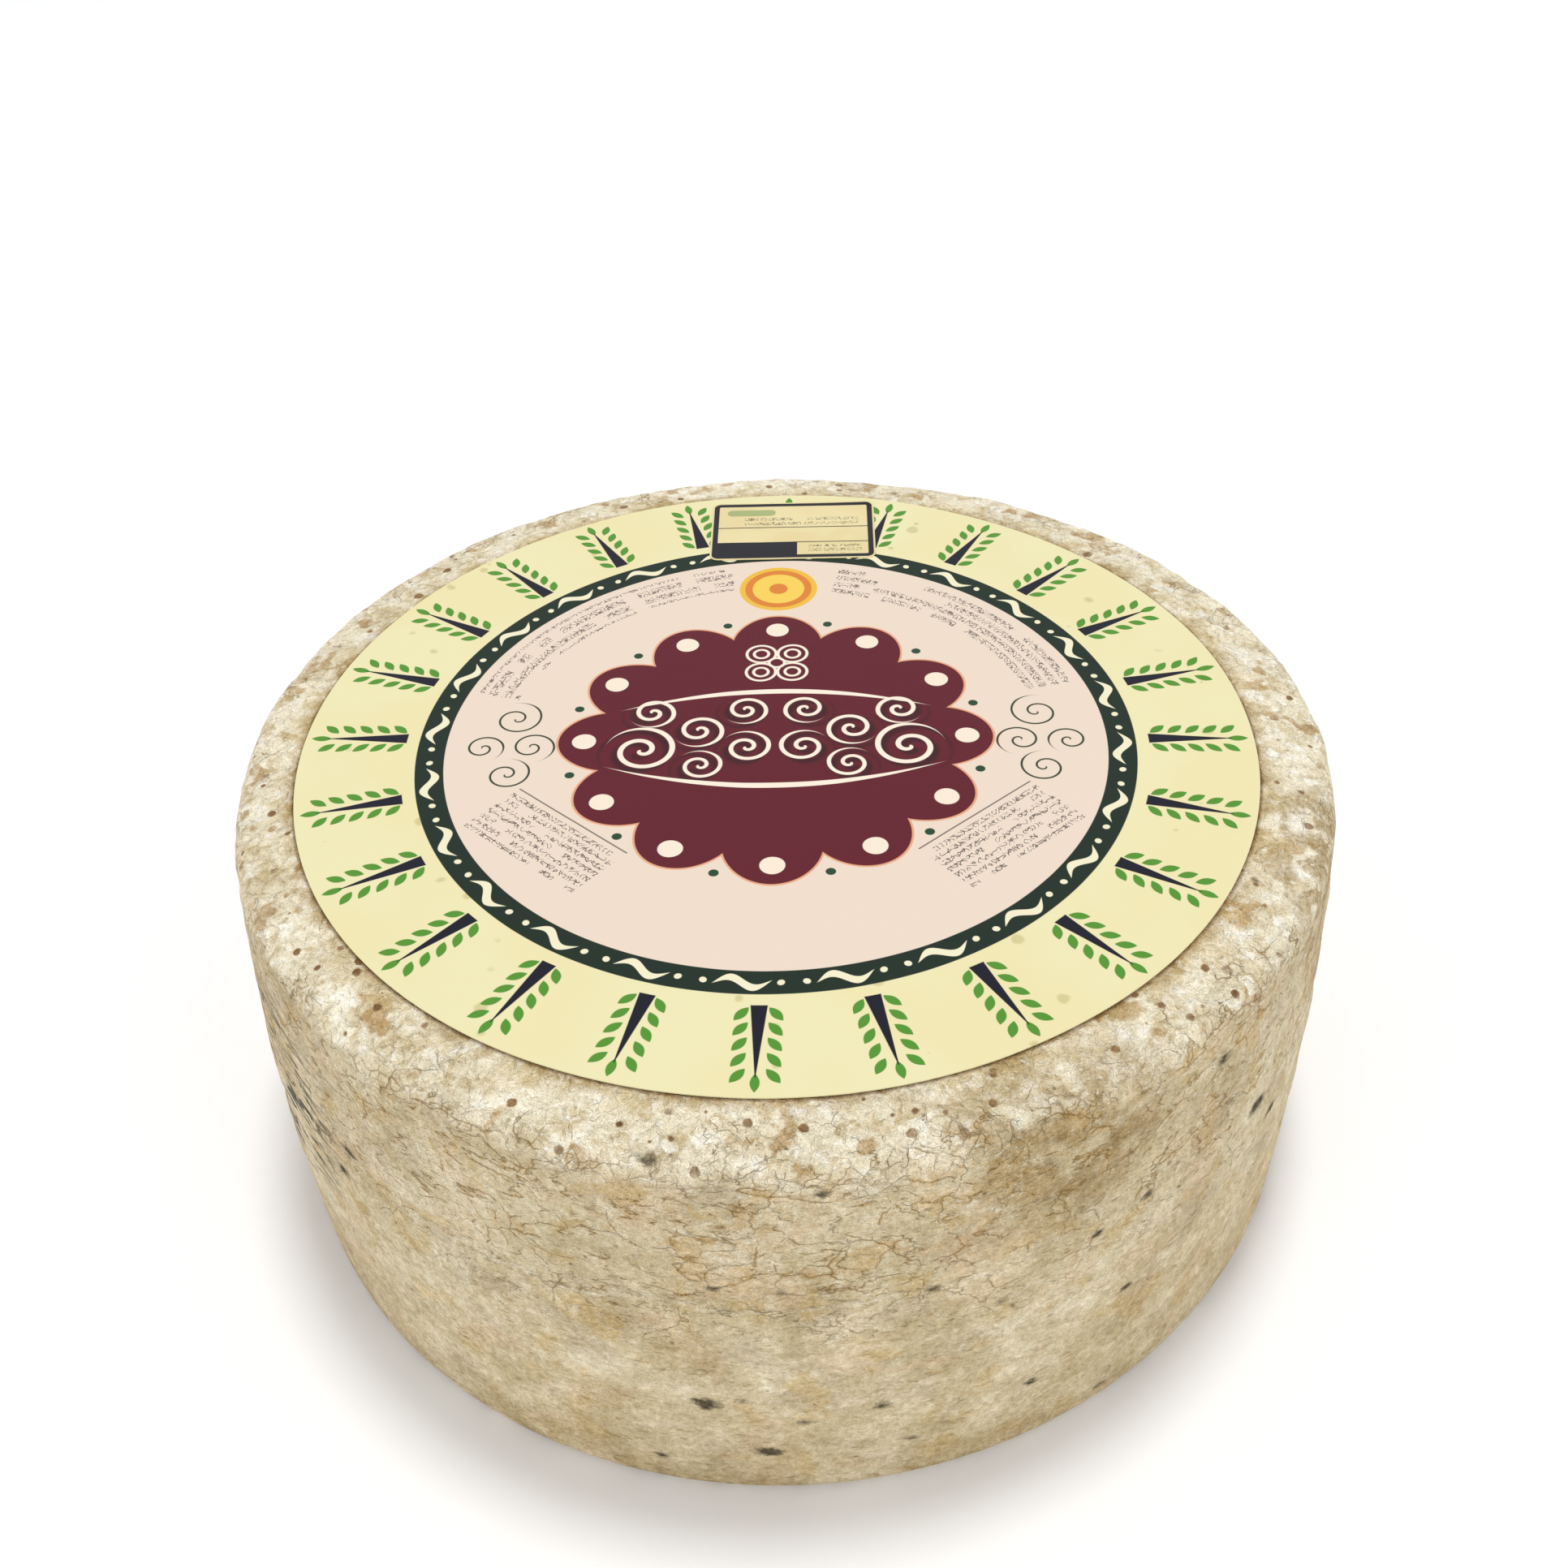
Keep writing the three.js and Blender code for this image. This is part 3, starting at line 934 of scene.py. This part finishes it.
def printed_paper():
    """Label paper, offset printed: matt, smooth and slightly translucent where grease has soaked in.
    The print is plain ornament only: a ring of sprigs, a dark band, a scalloped rosette and scrolls."""
    material, tree, shader = new_material("offset_printed_paper")
    place = paper_place(tree, LABEL_CENTRE)
    parts = add(tree, "SeparateXYZ", (place,))
    radius = add(tree, "VectorMath", (place,), operation="LENGTH")["Value"]
    angle = add(tree, "Math", (parts["Y"], parts["X"]), operation="ARCTAN2")[0]
    aside = add(tree, "Math", (parts["X"],), operation="ABSOLUTE")[0]
    mirrored = add(tree, "CombineXYZ", (aside, parts["Y"], 0.0))[0]

    stems, leaves = sprigs(tree, angle, radius)
    pink_edge = add(tree, "Math", (radius, BAND_MIDDLE), operation="SUBTRACT")[0]
    band_edge = beyond(tree, radius, BAND_MIDDLE, BAND_HALF)
    grease = scattered_spots(tree, warped(tree, place, 3.0, 0.6), 6.0, 1.8, 0.4, 0.7)
    colour = coated(tree, linear("#E8E0AF"), [
        ("#E7DBA4", clouds(tree, place, 30, 0.42, 0.62), 0.5),
        ("#AFA35C", grease, 0.45),
        ("#E7D4C1", inked(tree, pink_edge)),
        ("#13271A", inked(tree, band_edge)),
        ("#EDE6C4", inked(tree, band_ornament(tree, angle, radius))),
        ("#52902C", inked(tree, leaves)),
        ("#0F0E22", inked(tree, stems)),
        *rosette_coats(tree, angle, radius),
        *flourish_coats(tree, place, parts, mirrored),
        *small_print_coats(tree, angle, radius, mirrored),
        *seal_coats(tree, mirrored),
    ])
    tree.links.new(colour, shader.inputs["Base Color"])

    # The fibres are drawn at about 0.5 mm, coarser than real ones, so that they show.
    fibre = add(tree, "TexNoise", {"Vector": place, "Scale": 1 / 0.5, "Detail": 3.0})[0]
    normal = add(tree, "Bump", {"Strength": 0.5, "Distance": 0.04 * MM, "Height": fibre})["Normal"]
    roughness = add(tree, "MapRange", (fibre, 0.3, 0.7, 0.46, 0.58))[0]
    tree.links.new(normal, shader.inputs["Normal"])
    tree.links.new(roughness, shader.inputs["Roughness"])
    shader.inputs["Specular IOR Level"].default_value = 0.2
    return material


def sticker_paper():
    """Coated sticker paper, printed with a dark rounded frame round blank fields: smoother and a little
    shinier than the label under it."""
    material, tree, shader = new_material("coated_sticker_paper")
    low, high = STICKER_BOX
    place = paper_place(tree, (low + high) / 2)
    half_size = [(high[axis] - low[axis]) / 2 / MM for axis in (0, 1)]
    outer_edge = box_edge(tree, place, (0.0, 0.0), half_size, STICKER_CORNER / MM)
    frame_line = beyond(tree, outer_edge, -1.0, 0.6)
    upper_rule = box_edge(tree, place, (0.0, 1.2), (17.0, 0.16))
    lower_rule = box_edge(tree, place, (0.0, -5.2), (17.0, 0.16))
    dark_field = box_edge(tree, place, (-8.0, -8.2), (9.0, 3.0))
    dark_ink = inked(tree, nearest_of(tree, upper_rule, lower_rule, dark_field, frame_line))
    upper_block = box_edge(tree, place, (2.0, 3.6), (13.0, 1.8))
    lower_block = box_edge(tree, place, (9.5, -8.2), (6.0, 1.8))
    green_patch = box_edge(tree, place, (-9.5, 7.6), (5.5, 1.3), 1.2)
    colour = coated(tree, linear("#E6D7A2"), [
        ("#DFCB92", clouds(tree, place, 14, 0.40, 0.62), 0.6),
        ("#8FA565", inked(tree, green_patch), 0.8),
        ("#3A362E", *fine_print(tree, place, 1.9, upper_block), 0.75),
        ("#3A362E", *fine_print(tree, place, 1.9, lower_block), 0.75),
        ("#10101A", dark_ink),
    ])
    tree.links.new(colour, shader.inputs["Base Color"])
    shader.inputs["Roughness"].default_value = 0.42
    shader.inputs["Specular IOR Level"].default_value = 0.25
    return material


# ---------------------------------------------------------------- the studio

def build_floor():
    """A round floor of white card: matt, and all but evenly white."""
    body = bmesh.new()
    bmesh.ops.create_circle(body, segments=128, radius=FLOOR_RADIUS, cap_ends=True)
    bmesh.ops.translate(body, verts=body.verts, vec=(0, 0, -FLOOR_GAP))
    mesh = bpy.data.meshes.new("studio_floor")
    body.to_mesh(mesh)
    body.free()
    material, tree, shader = new_material("white_studio_card")
    place = add(tree, "TexCoord", ())["Object"]
    speckle = add(tree, "TexNoise", {"Vector": place, "Scale": 60.0})[0]
    tone = add(tree, "Mix", {0: speckle, 6: linear("#FFFFFF"), 7: linear("#FDFDFD")}, data_type="RGBA")[2]
    tree.links.new(tone, shader.inputs["Base Color"])
    shader.inputs["Roughness"].default_value = 0.9
    mesh.materials.append(material)
    floor = bpy.data.objects.new("studio_floor", mesh)
    bpy.context.scene.collection.objects.link(floor)


def add_lamp(name, place, size, power):
    """A round soft lamp, aimed at the middle of the wheel."""
    lamp = bpy.data.lights.new(name, "AREA")
    lamp.shape = "DISK"
    lamp.size = size
    lamp.energy = power
    holder = bpy.data.objects.new(name, lamp)
    holder.location = place
    aim = Vector((0, 0, WHEEL_HEIGHT / 2)) - Vector(place)
    holder.rotation_euler = aim.to_track_quat("-Z", "Y").to_euler()
    bpy.context.scene.collection.objects.link(holder)


def build_light():
    """White walls all round with a darker ceiling, a soft lamp overhead and two weak ones in front."""
    world = bpy.data.worlds.new("white_studio")
    bpy.context.scene.world = world
    world.use_nodes = True
    tree = world.node_tree
    direction = add(tree, "TexCoord", ())["Generated"]
    upward = add(tree, "SeparateXYZ", (direction,))["Z"]
    heights = (upward, 0.25, 0.85, WALL_GLOW, CEILING_GLOW)
    glow = add(tree, "MapRange", heights, interpolation_type="SMOOTHSTEP")[0]
    background = tree.nodes["Background"]
    tree.links.new(glow, background.inputs["Strength"])
    background.inputs["Color"].default_value = WALL_WHITE
    for name, place, size, power in LAMPS:
        add_lamp(name, place, size, power)
    bpy.context.scene.view_settings.view_transform = "Standard"


def build_camera():
    camera = bpy.data.cameras.new("camera")
    camera.lens = CAMERA_LENS
    camera.sensor_width = 36
    camera.clip_start = 0.01
    holder = bpy.data.objects.new("camera", camera)
    turn = (Matrix.Rotation(math.radians(-CAMERA_YAW), 4, "Z")
            @ Matrix.Rotation(math.radians(90 - CAMERA_PITCH), 4, "X")
            @ Matrix.Rotation(math.radians(CAMERA_ROLL), 4, "Z"))
    holder.matrix_world = Matrix.Translation(CAMERA_STAND * WHEEL_RADIUS) @ turn
    bpy.context.scene.collection.objects.link(holder)
    bpy.context.scene.camera = holder


build_camera()
build_light()
build_floor()
build_wheel()
build_label()
build_sticker()
